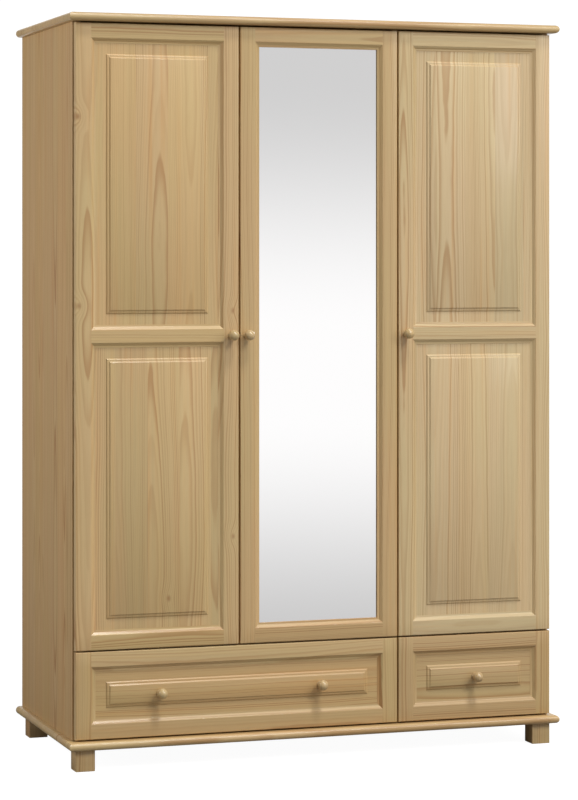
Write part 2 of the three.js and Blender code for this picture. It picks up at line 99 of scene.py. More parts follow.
class Signal:
    """A value socket that can be used in Python arithmetic; each operator adds a Math node."""

    def __init__(self, shader: "Shader", socket: Socket) -> None:
        """Wraps one output socket of a shader."""
        self.shader = shader
        self.socket = socket

    __add__, __radd__ = _operation("ADD"), _operation("ADD", swapped=True)
    __sub__, __rsub__ = _operation("SUBTRACT"), _operation("SUBTRACT", swapped=True)
    __mul__, __rmul__ = _operation("MULTIPLY"), _operation("MULTIPLY", swapped=True)
    __truediv__ = _operation("DIVIDE")
    floor, fraction = _operation("FLOOR"), _operation("FRACT")
    root, exponent = _operation("SQRT"), _operation("EXPONENT")

    def smooth(self, low: float, high: float) -> "Signal":
        """Rises smoothly from 0 at low to 1 at high."""
        return self.shader.value("MapRange", {0: self, 1: low, 2: high}, interpolation_type="SMOOTHSTEP")


class Shader:
    """The node tree of a material or a world, filled by expressions."""

    def __init__(self, owner: Material | bpy.types.World) -> None:
        """Empties the owner's node tree."""
        self.owner = owner
        owner.use_nodes = True
        self.tree = owner.node_tree
        self.tree.nodes.clear()

    @classmethod
    def named(cls, name: str) -> "Shader":
        """Starts an empty material of that name."""
        return cls(bpy.data.materials.new(name))

    def add(self, kind: str, sockets: dict | None = None, **settings: str) -> bpy.types.Node:
        """Adds any node.

        Args:
            kind: The node's type, without the prefix that all shader nodes have.
            sockets: Values or links of its inputs, by name or number.
            settings: Its properties, set before its sockets.

        Returns:
            The new node.
        """
        node = self.tree.nodes.new(f"ShaderNode{kind}")
        for key, value in settings.items():
            setattr(node, key, value)
        for key, value in (sockets or {}).items():
            if isinstance(value, Signal):
                value = value.socket
            if isinstance(value, Socket):
                self.tree.links.new(value, node.inputs[key])
            else:
                node.inputs[key].default_value = value
        return node

    def value(self, kind: str, sockets: dict, **settings: str) -> Signal:
        """Adds a node and wraps its first output."""
        return Signal(self, self.add(kind, sockets, **settings).outputs[0])

    def place(self, coordinates: str = "Object") -> tuple[Signal, Signal, Signal]:
        """The shaded point's x, y and z."""
        return self.split(self.add("TexCoord").outputs[coordinates])

    def vector(self, x: Signal | float, y: Signal | float, z: Signal | float) -> Socket:
        """Joins three numbers into a vector."""
        return self.add("CombineXYZ", {0: x, 1: y, 2: z}).outputs[0]

    def split(self, vector: Socket) -> tuple[Signal, Signal, Signal]:
        """Takes a vector apart into three numbers."""
        node = self.add("SeparateXYZ", {0: vector})
        return tuple(Signal(self, output) for output in node.outputs)

    def noise(self, vector: Socket, detail: float = 2.0) -> Signal:
        """Smooth noise from 0 to 1 about 0.5, one feature to a unit."""
        return self.value("TexNoise", {"Vector": vector, "Scale": 1.0, "Detail": detail})

    def chances(self, vector: Socket) -> tuple[Signal, Signal, Signal]:
        """Three even chances from 0 to 1 for each value of a vector."""
        node = self.add("TexWhiteNoise", {"Vector": vector}, noise_dimensions="3D")
        return self.split(node.outputs["Color"])

    def blend(
        self,
        share: Signal | float,
        first: Colour | Socket,
        second: Colour | Socket,
        how: str = "MIX",
    ) -> Socket:
        """Mixes two colours.

        Args:
            share: How much of the second colour is used.
            first: A colour or a link.
            second: A colour or a link.
            how: The blend type.

        Returns:
            The mixed colour.
        """
        colours = {0: share, 6: first, 7: second}
        return self.add("Mix", colours, data_type="RGBA", blend_type=how).outputs[2]

    def finish(self, sockets: dict) -> Material:
        """Ends in a Principled surface with the given sockets."""
        surface = self.add("BsdfPrincipled", sockets)
        self.add("OutputMaterial", {"Surface": surface.outputs[0]})
        return self.owner

    def by_ray(self, output: str, other: bpy.types.Node, camera: bpy.types.Node) -> None:
        """Ends in one shader node for camera rays and another for all other rays."""
        share = self.add("LightPath").outputs["Is Camera Ray"]
        mixed = self.add("MixShader", {0: share, 1: other.outputs[0], 2: camera.outputs[0]})
        self.add(output, {"Surface": mixed.outputs[0]})


def tone(*display: int) -> Colour:
    """A display colour, its red, green and blue from 11 to 255, as the linear colour that sockets take."""
    return (*(((part / 255 + 0.055) / 1.055) ** 2.4 for part in display), 1.0)


# ---- finishes


class Lay(Enum):
    """How a board lies: the axes along its fibres, across its face and through it."""

    UPRIGHT_FRONT = "zxy"
    LEVEL_FRONT = "xzy"
    UPRIGHT_SIDE = "zyx"
    LEVEL_TOP = "xyz"
    DRAWER_SIDE = "yzx"


@dataclass(frozen=True)
class Pine:
    """Lacquered flat-sawn pine, with growth rings, staves, fibres and small knots."""

    name: str
    lay: Lay
    early: Colour = tone(211, 178, 128)
    late: Colour = tone(168, 116, 64)
    knot: Colour = tone(150, 96, 52)
    honey: Colour = tone(202, 154, 96)
    sap: Colour = tone(205, 183, 128)
    ring_contrast: float = 0.72
    ring_spacing: float = 2.9 * MM
    depth_of_tone: float = 1.0
    roughness: float = 0.42
    coat: float = 0.35

    def material(self) -> Material:
        """Makes the node material."""
        s = Shader.named(self.name)
        place = s.place()
        along, across, through = (place["xyz".index(axis)] for axis in self.lay.value)
        mark = s.add("Attribute", attribute_name=BOARD_MARK)
        seed, middle, width = s.split(mark.outputs["Vector"])

        shifted = (across - middle) / width + 0.5
        stave = shifted.floor()
        local = (shifted - stave - 0.5) * width
        pick, slide, deep = s.chances(s.vector(stave, seed, 3.7))
        run = along + slide * 9.0

        knot_share, swirl = self._knots(s, across, run, seed)
        wander = s.noise(s.vector(seed * 5.3 + stave, 0.0, run * 1.5))
        rise = s.noise(s.vector(seed * 3.1 + stave * 2.3, 4.0, run * 0.8), 1.0)
        ripple = s.noise(s.vector(across * 30.0, seed, run * 9.0))
        centre = (pick - 0.5) * 0.12 + (wander - 0.5) * 0.022  # of the rings, across the stave
        depth = 0.016 + deep * 0.05 + rise * 0.04 + swirl * 0.007  # of that centre under the face
        offset = local - centre
        radius = (offset * offset + depth * depth).root()
        rings = radius / self.ring_spacing + (ripple - 0.5) * 0.5
        phase = rings.fraction()
        strength, _, _ = s.chances(s.vector(rings.floor(), stave, seed))
        band = phase.smooth(0.25, 0.84) * (1.0 - phase.smooth(0.87, 1.0))  # darkens slowly, ends sharply
        late = band * (0.15 + strength * strength * 0.85)

        fibres = s.noise(s.vector(across * 1300.0, through * 500.0, run * 14.0), 3.0)
        streaks = s.noise(s.vector(across * 75.0 + seed, through * 30.0, run * 1.2), 3.0)
        clouds = s.noise(s.vector(across * 9.0, seed, run * 1.6), 1.0)

        base = s.blend(streaks.smooth(0.5, 0.8) * 0.6, self.early, self.honey)
        base = s.blend(clouds.smooth(0.35, 0.7) * 0.5, base, self.sap)
        base = s.blend(late * self.ring_contrast, base, self.late)
        base = s.blend(fibres.smooth(0.42, 0.8) * 0.18, base, self.late)
        shade = (0.93 + slide * 0.1 + (streaks - 0.5) * 0.2) * self.depth_of_tone
        tint = s.vector(shade, shade * (0.985 + deep * 0.03), shade * (0.94 + deep * 0.1))
        base = s.blend(1.0, base, tint, "MULTIPLY")
        base = s.blend(knot_share, base, self.knot)
        relief = fibres * 0.35 + late * 0.3
        bump = s.add("Bump", {"Strength": 0.16, "Distance": 0.25 * MM, "Height": relief})
        return s.finish(
            {
                "Base Color": base,
                "Roughness": self.roughness + (fibres - 0.5) * 0.14 + late * 0.05,
                "Normal": bump.outputs[0],
                "Coat Weight": self.coat,
                "Coat Roughness": 0.17,
                "Specular IOR Level": 0.32,
            }
        )

    def _knots(self, s: Shader, across: Signal, run: Signal, seed: Signal) -> tuple[Signal, Signal]:
        """Scatters a few small knots.

        Args:
            s: The shader.
            across: Distance across the face.
            run: Distance along the fibres.
            seed: The piece's own number.

        Returns:
            The knot's share of the colour, and how far it pushes the rings aside.
        """
        cell_across, cell_along = 0.11, 0.52
        spot = s.vector(across / cell_across + seed * 7.0, run / cell_along, 0.0)
        cells = s.add("TexVoronoi", {"Vector": spot, "Scale": 1.0}, voronoi_dimensions="2D")
        chance, size, _ = s.split(cells.outputs["Color"])
        at_across, at_along, _ = s.split(cells.outputs["Position"])
        away_across = (across / cell_across + seed * 7.0 - at_across) * cell_across
        away_along = (run / cell_along - at_along) * (cell_along * 0.62)
        away = (away_across * away_across + away_along * away_along).root()
        present = chance.smooth(0.9, 0.91)
        reach = 0.004 + size * 0.005
        share = (1.0 - (away / reach).smooth(0.0, 1.0)) * present * 0.55
        swirl = (0.0 - (away * away) / 0.0003).exponent() * present
        return share, swirl


@dataclass(frozen=True)
class Metal:
    """Plated or painted metal, or plastic, with a faint mottle."""

    name: str
    colour: Colour
    metallic: float
    roughness: float

    def material(self) -> Material:
        """Makes the node material."""
        s = Shader.named(self.name)
        x, y, z = s.place()
        grain = s.noise(s.vector(x * 400.0, y * 400.0, z * 900.0), 3.0)
        mottle = s.noise(s.vector(x * 60.0, y * 60.0, z * 60.0))
        shade = 0.94 + mottle * 0.1
        colour = s.blend(1.0, self.colour, s.vector(shade, shade, shade), "MULTIPLY")
        bump = s.add("Bump", {"Strength": 0.06, "Distance": 0.1 * MM, "Height": grain})
        sockets = {"Base Color": colour, "Roughness": self.roughness + (grain - 0.5) * 0.12}
        return s.finish({**sockets, "Metallic": self.metallic, "Normal": bump.outputs[0]})


@dataclass(frozen=True)
class Silvered:
    """Silvered float glass: a clean mirror with a trace of haze."""

    name: str = "silvered_glass"

    def material(self) -> Material:
        """Makes the node material."""
        s = Shader.named(self.name)
        x, _, z = s.place()
        haze = s.noise(s.vector(x * 3.0, 0.0, z * 3.0))
        colour = s.blend(haze * 0.25, tone(248, 247, 247), tone(243, 243, 243))
        return s.finish({"Base Color": colour, "Metallic": 1.0, "Roughness": 0.008 + haze * 0.01})


@dataclass(frozen=True)
class FrontFinish:
    """What a front is dressed in."""

    stile: Material
    rail: Material
    panel: Material

    @classmethod
    def of_pine(cls, name: str, panel_lay: Lay, frame_look: dict, panel_look: dict) -> "FrontFinish":
        """Makes the three materials.

        Args:
            name: The wood's name.
            panel_lay: How the raised panels lie.
            frame_look: What the stiles and rails change of a Pine.
            panel_look: What the panels change of it.

        Returns:
            The front's finish.
        """
        return cls(
            Pine(f"{name}_stile", Lay.UPRIGHT_FRONT, **frame_look).material(),
            Pine(f"{name}_rail", Lay.LEVEL_FRONT, **frame_look).material(),
            Pine(f"{name}_panel", panel_lay, **panel_look).material(),
        )


class Finishes:
    """Every finish of the wardrobe, each made into a material once."""

    def __init__(self) -> None:
        """Makes the materials."""
        upright = Lay.UPRIGHT_FRONT
        fine = {"ring_spacing": 2.5 * MM}
        wide = {"ring_spacing": 3.3 * MM, "ring_contrast": 0.62}
        pale = {"early": tone(217, 190, 146), "sap": tone(212, 193, 146), "honey": tone(208, 166, 112)}
        dark = {"depth_of_tone": 0.93}
        self.door = FrontFinish.of_pine("pine", upright, fine, wide)
        self.pale_door = FrontFinish.of_pine("pale_pine", upright, {**fine, **pale}, {**wide, **pale})
        self.drawer = FrontFinish.of_pine("pine_drawer", Lay.LEVEL_FRONT, dark, dark)
        warm = {"early": tone(204, 168, 118), "sap": tone(199, 168, 110), "honey": tone(186, 134, 80)}
        dull = {"ring_contrast": 0.85, "roughness": 0.5, "coat": 0.08}
        self.side = Pine("pine_side", Lay.UPRIGHT_SIDE, **warm, **dull).material()
        self.level = Pine("pine_level", Lay.LEVEL_TOP).material()
        self.drawer_side = Pine("pine_drawer_side", Lay.DRAWER_SIDE, coat=0.05, roughness=0.55).material()
        glossy = {"early": tone(209, 179, 132), "ring_contrast": 0.35, "roughness": 0.3, "coat": 0.7}
        self.turned = Pine("pine_turned", upright, **glossy).material()
        sheet = {"ring_spacing": 8.0 * MM, "ring_contrast": 0.4, "roughness": 0.62, "coat": 0.0}
        self.ply = Pine("plywood", upright, **sheet).material()
        self.mirror = Silvered().material()
        self.nickel = Metal("nickel_plate", tone(190, 189, 184), 1.0, 0.28).material()
        self.runner = Metal("cream_powder_coat", tone(228, 226, 218), 0.0, 0.42).material()
        self.plastic = Metal("white_plastic", tone(232, 230, 224), 0.0, 0.36).material()

    def front(self, body: str) -> FrontFinish:
        """The finish of a body's front, darker on drawers and paler on the right door."""
        if "drawer" in body:
            return self.drawer
        return self.pale_door if body == "right_door" else self.door


# ---- modelling by operators


def select_only(obj: bpy.types.Object) -> None:
    """Makes an object the active one and the only one selected."""
    bpy.ops.object.select_all(action="DESELECT")
    bpy.context.view_layer.objects.active = obj
    obj.select_set(True)


class Piece:
    """One mesh, shaped with edit-mode operators and then dressed and set on its body."""

    def __init__(self, name: str) -> None:
        """Takes the active object, just added as a primitive, as the start of a piece."""
        self.name = name
        self.obj = bpy.context.object
        self.obj.name = name
        self.obj.data.name = name
        bpy.ops.object.transform_apply(location=True, rotation=True, scale=True)

    @classmethod
    def block(cls, name: str, low: Vector, high: Vector) -> "Piece":
        """Starts from a box between two corners."""
        bpy.ops.mesh.primitive_cube_add(size=1.0, location=(low + high) / 2, scale=high - low)
        return cls(name)

    @classmethod
    def turned(cls, name: str, foot: Vector, axis: Vector, steps: Steps, sides: int) -> "Piece":
        """Turns a piece on a lathe: rings are drawn out of a disc, one after another.

        Args:
            name: The piece's name.
            foot: Centre of its foot.
            axis: The direction that it grows in.
            steps: Each ring's distance from the foot and its radius.
            sides: How many sides the rings have.

        Returns:
            The closed piece.
        """
        turn = axis.to_track_quat("Z", "Y").to_euler()
        at, radius = steps[0]
        bpy.ops.mesh.primitive_circle_add(
            vertices=sides, radius=radius, fill_type="NGON", location=foot + axis * at, rotation=turn
        )
        piece = cls(name)
        piece.edit()
        bpy.ops.mesh.select_all(action="SELECT")
        for next_at, next_radius in steps[1:]:
            share = next_radius / radius
            piece.draw_out(axis * (next_at - at), Vector((share,) * 3), foot + axis * next_at)
            at, radius = next_at, next_radius
        piece.leave()
        return piece

    def edit(self) -> None:
        """Goes into edit mode on this piece alone."""
        select_only(self.obj)
        bpy.ops.object.mode_set(mode="EDIT")
        bpy.ops.mesh.select_mode(type="FACE")

    def leave(self, crease: float = SMOOTH_ANGLE) -> None:
        """Leaves edit mode with its faces outwards and soft shading under an angle."""
        bpy.ops.mesh.select_all(action="SELECT")
        bpy.ops.mesh.remove_doubles(threshold=SAME)
        bpy.ops.mesh.normals_make_consistent(inside=False)
        bpy.ops.object.mode_set(mode="OBJECT")
        bpy.ops.object.shade_smooth_by_angle(angle=math.radians(crease))

    def pick_faces(self, test: Test) -> None:
        """Selects the faces whose centre and normal pass a test."""
        self._pick("FACE", lambda face: test(face.calc_center_median(), face.normal))

    def pick_edges(self, test: Test) -> None:
        """Selects the edges whose two ends pass a test."""
        self._pick("EDGE", lambda edge: test(edge.verts[0].co, edge.verts[1].co))

    def _pick(self, kind: str, test: Callable[[bmesh.types.BMFace | bmesh.types.BMEdge], bool]) -> None:
        """Selects the faces or the edges that pass a test."""
        bpy.ops.mesh.select_mode(type=kind)
        bpy.ops.mesh.select_all(action="DESELECT")
        shape = bmesh.from_edit_mesh(self.obj.data)
        shape.normal_update()
        for element in shape.faces if kind == "FACE" else shape.edges:
            if test(element):
                element.select_set(True)
        bmesh.update_edit_mesh(self.obj.data)

    def cut_lines(self, axis: int, places: Sequence[float]) -> None:
        """Cuts lines round the piece, each on a plane square to an axis."""
        for place in places:
            bpy.ops.mesh.select_all(action="SELECT")
            point, normal = Vector(), Vector()
            point[axis], normal[axis] = place, 1.0
            bpy.ops.mesh.bisect(plane_co=point, plane_no=normal)

    def draw_out(self, move: Vector, share: Vector, centre: Vector) -> None:
        """Extrudes the selected face by a move and resizes its end about a centre."""
        bpy.ops.mesh.extrude_region_move(TRANSFORM_OT_translate={"value": move})
        bpy.ops.transform.resize(value=share, center_override=centre)

    def soften(self, radius: float, segments: int = 2) -> "Piece":
        """Rounds every sharp edge of the piece a little."""
        self.edit()
        bpy.ops.mesh.select_all(action="SELECT")
        bpy.ops.mesh.bevel(offset=radius, segments=segments, affect="EDGES", clamp_overlap=True)
        self.leave()
        return self

    def cut_away(self, *tools: "Piece") -> "Piece":
        """Cuts other pieces out of this one and throws them away."""
        for tool in tools:
            cut = self.obj.modifiers.new("cut", "BOOLEAN")
            cut.operation = "DIFFERENCE"
            cut.solver = "EXACT"
            cut.object = tool.obj
            select_only(self.obj)
            bpy.ops.object.modifier_apply(modifier=cut.name)
            bpy.data.objects.remove(tool.obj)
        return self

    def joined(self, others: Sequence["Piece"]) -> "Piece":
        """Takes other pieces into this one, as loose solids of one piece."""
        select_only(self.obj)
        for other in others:
            other.obj.select_set(True)
        bpy.ops.object.join()
        return self

    def mark_one(self, seed: float, middle: float, staves: float = ONE_BOARD) -> "Piece":
        """Gives every face the same seed, middle and stave width."""
        return self.mark_boards(lambda _: (seed, middle, staves))

    def mark_boards(self, mark: Callable[[Vector], Triple]) -> "Piece":
        """Gives each face its board's seed, middle and stave width."""
        marks = self.obj.data.attributes.new(BOARD_MARK, "FLOAT_VECTOR", "FACE")
        for index, face in enumerate(self.obj.data.polygons):
            marks.data[index].vector = mark(face.center)
        return self

    def dress(self, *materials: Material) -> "Piece":
        """Puts materials on the piece."""
        self.obj.data.materials.clear()
        for material in materials:
            self.obj.data.materials.append(material)
        return self

    def fit(self, body: str, slot: str, *nodes: str) -> "Piece":
        """Sets the piece on its body.

        Args:
            body: The body that it moves with.
            slot: The record's material slot; not used.
            nodes: The frame's nodes that it stands for.

        Returns:
            The piece.
        """
        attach(self.obj, body)
        if nodes:
            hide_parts(*nodes)
        LOG.info("%s on %s, %d faces", self.name, body, len(self.obj.data.polygons))
        return self


def near(*places: float) -> bool:
    """Whether places along an axis are all one."""
    return max(places) - min(places) < SAME


def dress_node(node: str, material: Material) -> None:
    """Puts a material on a node of the frame that is used as it is."""
    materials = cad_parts[node].data.materials
    materials.clear()
    materials.append(material)


SEED_STEP = 0.617
_seeds = itertools.count(1)


def new_seed() -> float:
    """A fresh number for each board, the same in every run."""
    return next(_seeds) * SEED_STEP


@dataclass
class Board:
    """A plain wooden board that stands for a node of the frame."""

    node: str
    lay: Lay
    staves: float = 0.083
    edge: float = 1.2 * MM
    body: str = "cabinet"
    slot: str = "pine_board"

    def build(self, material: Material) -> Piece:
        """Makes, rounds, dresses and fits the board."""
        low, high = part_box(self.node)
        piece = Piece.block(f"{self.node}_wood", low, high).soften(self.edge)
        return self.finish(piece, low, high, material)

    def finish(self, piece: Piece, low: Vector, high: Vector, material: Material) -> Piece:
        """Marks the staves of a shaped board, then dresses and fits it."""
        across = "xyz".index(self.lay.value[1])
        piece.mark_one(new_seed(), (low[across] + high[across]) / 2, self.staves)
        return piece.dress(material).fit(self.body, self.slot, self.node)


# ---- framed fronts


@dataclass
class Opening:
    """The rectangle inside a frame's lip, in the plane of the front."""

    low_x: float
    high_x: float
    low_z: float
    high_z: float

    @classmethod
    def within(cls, low: Vector, high: Vector, margin: float) -> "Opening":
        """The opening whose groove holds a sheet between two corners, a margin deep all round."""
        return cls(low.x + margin, high.x - margin, low.z + margin, high.z - margin)

    @property
    def centre(self) -> Vector:
        """Middle of the opening, at y = 0."""
        return Vector(((self.low_x + self.high_x) / 2, 0.0, (self.low_z + self.high_z) / 2))

    def share(self, grown: float, before: float) -> Vector:
        """How much larger the rectangle is when grown by one amount rather than by another."""
        width, height = self.high_x - self.low_x, self.high_z - self.low_z
        in_x, in_z = ((size + 2 * grown) / (size + 2 * before) for size in (width, height))
        return Vector((in_x, 1.0, in_z))

    def draw(self, piece: Piece, face: float, grown: float, lines: Steps) -> None:
        """Extrudes the selected face through a run of lines round the opening.

        Args:
            piece: The piece in edit mode.
            face: Where the selected face is, along y.
            grown: How far the selected face reaches past the lip.
            lines: Each line's depth behind the face and growth past the lip.
        """
        depth = 0.0
        for next_depth, next_grown in lines:
            at = self.centre + Vector((0.0, face + next_depth, 0.0))
            piece.draw_out(Vector((0.0, next_depth - depth, 0.0)), self.share(next_grown, grown), at)
            depth, grown = next_depth, next_grown

    def holds(self, point: Vector, margin: float) -> bool:
        """Whether a point lies in the rectangle grown by a margin."""
        in_x = self.low_x - margin < point.x < self.high_x + margin
        return in_x and self.low_z - margin < point.z < self.high_z + margin

    def nearest_side(self, point: Vector) -> str:
        """The side of the rectangle that a point on the moulding belongs to."""
        sides = {
            "left": point.x - self.low_x,
            "right": self.high_x - point.x,
            "bottom": point.z - self.low_z,
            "top": self.high_z - point.z,
        }
        return min(sides, key=sides.get)


@dataclass
class Moulding:
    """Section of the moulding round an opening: a small step, a slope and a land at the lip."""

    width: float = 13 * MM
    depth: float = 7.7 * MM
    section: tuple[tuple[float, float], ...] = (
        *((0.012, 0.08), (0.045, 0.09), (0.13, 0.19), (0.22, 0.31), (0.32, 0.44), (0.42, 0.57), (0.52, 0.7)),
        *((0.6, 0.8), (0.66, 0.86), (0.74, 0.905), (0.84, 0.935), (0.93, 0.96), (1.0, 1.0)),
    )  # shares of the width from the outside, and of the depth

    def steps(self) -> list[tuple[float, float]]:
        """Depth behind the face, and growth past the lip, of each line of the moulding."""
        return [(down * self.depth, (1.0 - along) * self.width) for along, down in self.section]


@dataclass
class Front:
    """A framed front: stiles and rails with a moulding, round panels or a mirror."""

    node: str
    body: str
    openings: list[Opening]
    back_lines: list[tuple[float, float]]
    hinge_cups: list[str] = field(default_factory=list)
    moulding: Moulding = field(default_factory=Moulding)
    edge: float = 2.8 * MM
    crease: float = 29.0  # degrees
    cup_radius: float = 17.5 * MM

    def build(self, finishes: Finishes) -> Piece:
        """Makes the frame, its holes for hinge cups, and its finish."""
        low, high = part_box(self.node)
        piece = Piece.block(f"{self.node}_joined", low, high)
        piece.edit()
        grow = self.moulding.width
        piece.cut_lines(0, [self.openings[0].low_x - grow, self.openings[0].high_x + grow])
        piece.cut_lines(2, [z for o in self.openings for z in (o.low_z - grow, o.high_z + grow)])
        for opening in self.openings:
            self._open(piece, opening, low.y, high.y)
        sides = ((0, low.x), (0, high.x), (2, low.z), (2, high.z))
        piece.pick_edges(lambda a, b: near(a.y, b.y, low.y) and any(near(a[k], b[k], at) for k, at in sides))
        bpy.ops.mesh.bevel(offset=self.edge, segments=3, affect="EDGES")
        piece.leave()
        holes = [self._bore(cup) for cup in self.hinge_cups]
        holes += [self._bore(cup, MIDDLE_HINGE_HEIGHT) for cup in self.hinge_cups[:1]]
        piece.cut_away(*holes)
        bpy.ops.object.shade_smooth_by_angle(angle=math.radians(self.crease))
        finish = finishes.front(self.body)
        piece.dress(finish.stile, finish.rail)
        self._mark(piece, low, high)
        return piece.fit(self.body, "pine_frame", self.node)

    def _open(self, piece: Piece, opening: Opening, front: float, back: float) -> None:
        """Sinks the moulding into the front, insets the back and bridges the two."""
        grown = self.moulding.width
        piece.pick_faces(lambda c, n: n.y > FACING and opening.holds(c, grown))
        bpy.ops.mesh.inset(thickness=grown, depth=0.0, use_boundary=True)
        piece.pick_faces(lambda c, n: n.y < -FACING and opening.holds(c, grown))
        lines = self.moulding.steps() + self.back_lines
        opening.draw(piece, front, grown, lines)
        depth, before = lines[-1]
        inner = 1 * MM
        if before > 0.0:  # an opening that is still wider at the back, as the mirror's rebate is
            piece.pick_faces(lambda c, n: n.y > FACING and opening.holds(c, -inner))
            share = opening.share(before, 0.0)
            bpy.ops.transform.resize(value=share, center_override=opening.centre + Vector((0.0, back, 0.0)))
        deepest = front + depth
        centre = opening.centre

        def is_end(c: Vector, n: Vector) -> bool:
            """Whether a face closes the opening at its back or at the end of the moulding."""
            at_middle = abs(c.x - centre.x) < inner and abs(c.z - centre.z) < inner
            return at_middle and min(abs(c.y - deepest), abs(c.y - back)) < 10 * SAME

        piece.pick_faces(is_end)
        bpy.ops.mesh.bridge_edge_loops()

    def _bore(self, cup: str, height: float | None = None) -> Piece:
        """The cutter for one hinge cup's hole, at the cup or at another height on the same line."""
        low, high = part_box(cup)
        centre = (low + high) / 2
        foot = Vector((centre.x, low.y - GAP, centre.z if height is None else height))
        steps = [(0.0, self.cup_radius), (25 * MM, self.cup_radius)]
        return Piece.turned("cup_hole", foot, TO_BACK, steps, 48)

    def _mark(self, piece: Piece, low: Vector, high: Vector) -> None:
        """Gives stiles and rails their own boards and fibre directions."""
        grow = self.moulding.width
        left, right = self.openings[0].low_x - grow, self.openings[0].high_x + grow
        stiles = {"left": (new_seed(), (low.x + left) / 2), "right": (new_seed(), (high.x + right) / 2)}
        edges = sorted({low.z, high.z, *(z for o in self.openings for z in (o.low_z, o.high_z))})
        rails = [((edges[i] + edges[i + 1]) / 2, new_seed()) for i in range(0, len(edges), 2)]

        def member(point: Vector) -> tuple[int, float, float]:
            """The material of the stile (0) or rail (1) at a point, and its seed and middle."""
            side = "left" if point.x < left else "right" if point.x > right else ""
            for opening in self.openings:
                if not side and opening.holds(point, grow + 10 * SAME):
                    side = opening.nearest_side(point)
            if side in stiles:
                return 0, *stiles[side]
            middle, seed = min(rails, key=lambda rail: abs(rail[0] - point.z))
            return 1, seed, middle

        piece.mark_boards(lambda point: (*member(point)[1:], ONE_BOARD))
        for face in piece.obj.data.polygons:
            face.material_index = member(face.center)[0]


@dataclass
class RaisedPanel:
    """A panel held in a frame's groove, with a flat border and a raised field."""

    node: str
    body: str
    is_level: bool = False
    tongue: float = 8.7 * MM
    border: float = 27 * MM
    raise_width: float = 10.5 * MM
    border_depth: float = 8.3 * MM
    field_depth: float = 1.5 * MM
    step: float = 2.5 * MM
    ledge_rise: float = 1.2 * MM
    crease: float = 24.0  # degrees

    def opening(self) -> Opening:
        """The lip that the panel fills."""
        return Opening.within(*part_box(self.node), self.tongue)

    def build(self, finishes: Finishes, front: float) -> Piece:
        """Makes the panel behind a frame's front face."""
        low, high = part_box(self.node)
        lip = self.opening()
        piece = Piece.block(f"{self.node}_fielded", Vector((low.x, front + self.border_depth, low.z)), high)
        piece.edit()
        piece.pick_faces(lambda _, n: n.y < -FACING)
        foot = -(self.border - 0.15 * MM)
        top = -(self.border + self.raise_width)
        drop = self.border_depth - self.field_depth
        ledge = self.step + self.ledge_rise
        rises = [(0.0, foot), (0.4 * MM, foot - 0.4 * MM)]
        rises += [(self.step, foot - 2.9 * MM), (self.step + 0.3 * MM, foot - 3.6 * MM)]
        rises += [(ledge, top + 3.5 * MM), (ledge + 0.4 * MM, top + 3.0 * MM)]
        rises += [(drop - 0.35 * MM, top + 0.4 * MM), (drop, top - 0.5 * MM)]
        lines = [(-height, grown) for height, grown in rises]
        lip.draw(piece, front + self.border_depth, self.tongue, lines)
        piece.leave(self.crease)
        across = (low.z + high.z) / 2 if self.is_level else (low.x + high.x) / 2
        seed = new_seed()
        shift = (seed % 1.0 - 0.5) * 0.05
        piece.mark_one(seed, across + shift, 0.5 if self.is_level else 0.084)
        piece.dress(finishes.front(self.body).panel)
        return piece.fit(self.body, "pine_panel", self.node)


@dataclass
class Knob:
    """A turned knob with a foot, a waist and a ball."""

    node: str
    body: str
    ball: float = 13.5 * MM
    reach: float = 37.5 * MM
    foot: float = 8.4 * MM
    waist: float = 6.3 * MM

    def build(self, finishes: Finishes) -> None:
        """Turns the knob."""
        low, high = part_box(self.node)
        at = Vector(((low.x + high.x) / 2, high.y, (low.z + high.z) / 2))
        centre = self.reach - GAP - self.ball
        meet = math.asin(self.waist / self.ball)
        steps = [(0.0, self.foot - 0.6 * MM), (0.5 * MM, self.foot), (2.0 * MM, self.foot)]
        steps += [(3.2 * MM, self.waist + 0.9 * MM), (5.5 * MM, self.waist)]
        steps.append((centre - 13.2 * MM + 1.2 * MM, self.waist))
        ball_steps = 15
        for i in range(1, ball_steps):
            turn = meet + (math.pi - meet) * i / ball_steps
            steps.append((centre - self.ball * math.cos(turn), self.ball * math.sin(turn)))
        steps.append((centre + self.ball, 0.6 * MM))
        knob = Piece.turned(f"{self.node}_turned", at, -TO_BACK, steps, 40)
        knob.mark_one(new_seed(), at.x + 4 * MM)
        knob.dress(finishes.turned).fit(self.body, "pine_turned", self.node)


def screw(name: str, foot: Vector, axis: Vector, radius: float) -> Piece:
    """A pan-head screw whose head stands on a surface.

    Args:
        name: The piece's name.
        foot: Where the head meets the surface.
        axis: The surface's outward direction.
        radius: The head's radius.

    Returns:
        The head, with a round socket.
    """
    dome = [(0.0, 1.0), (0.25, 1.0), (0.48, 0.82), (0.56, 0.45)]
    socket = [(0.3, 0.4), (0.3, 0.02)]
    steps = [(radius * height, radius * share) for height, share in dome + socket]
    return Piece.turned(name, foot, axis, steps, 18)


# ---- sub-assemblies


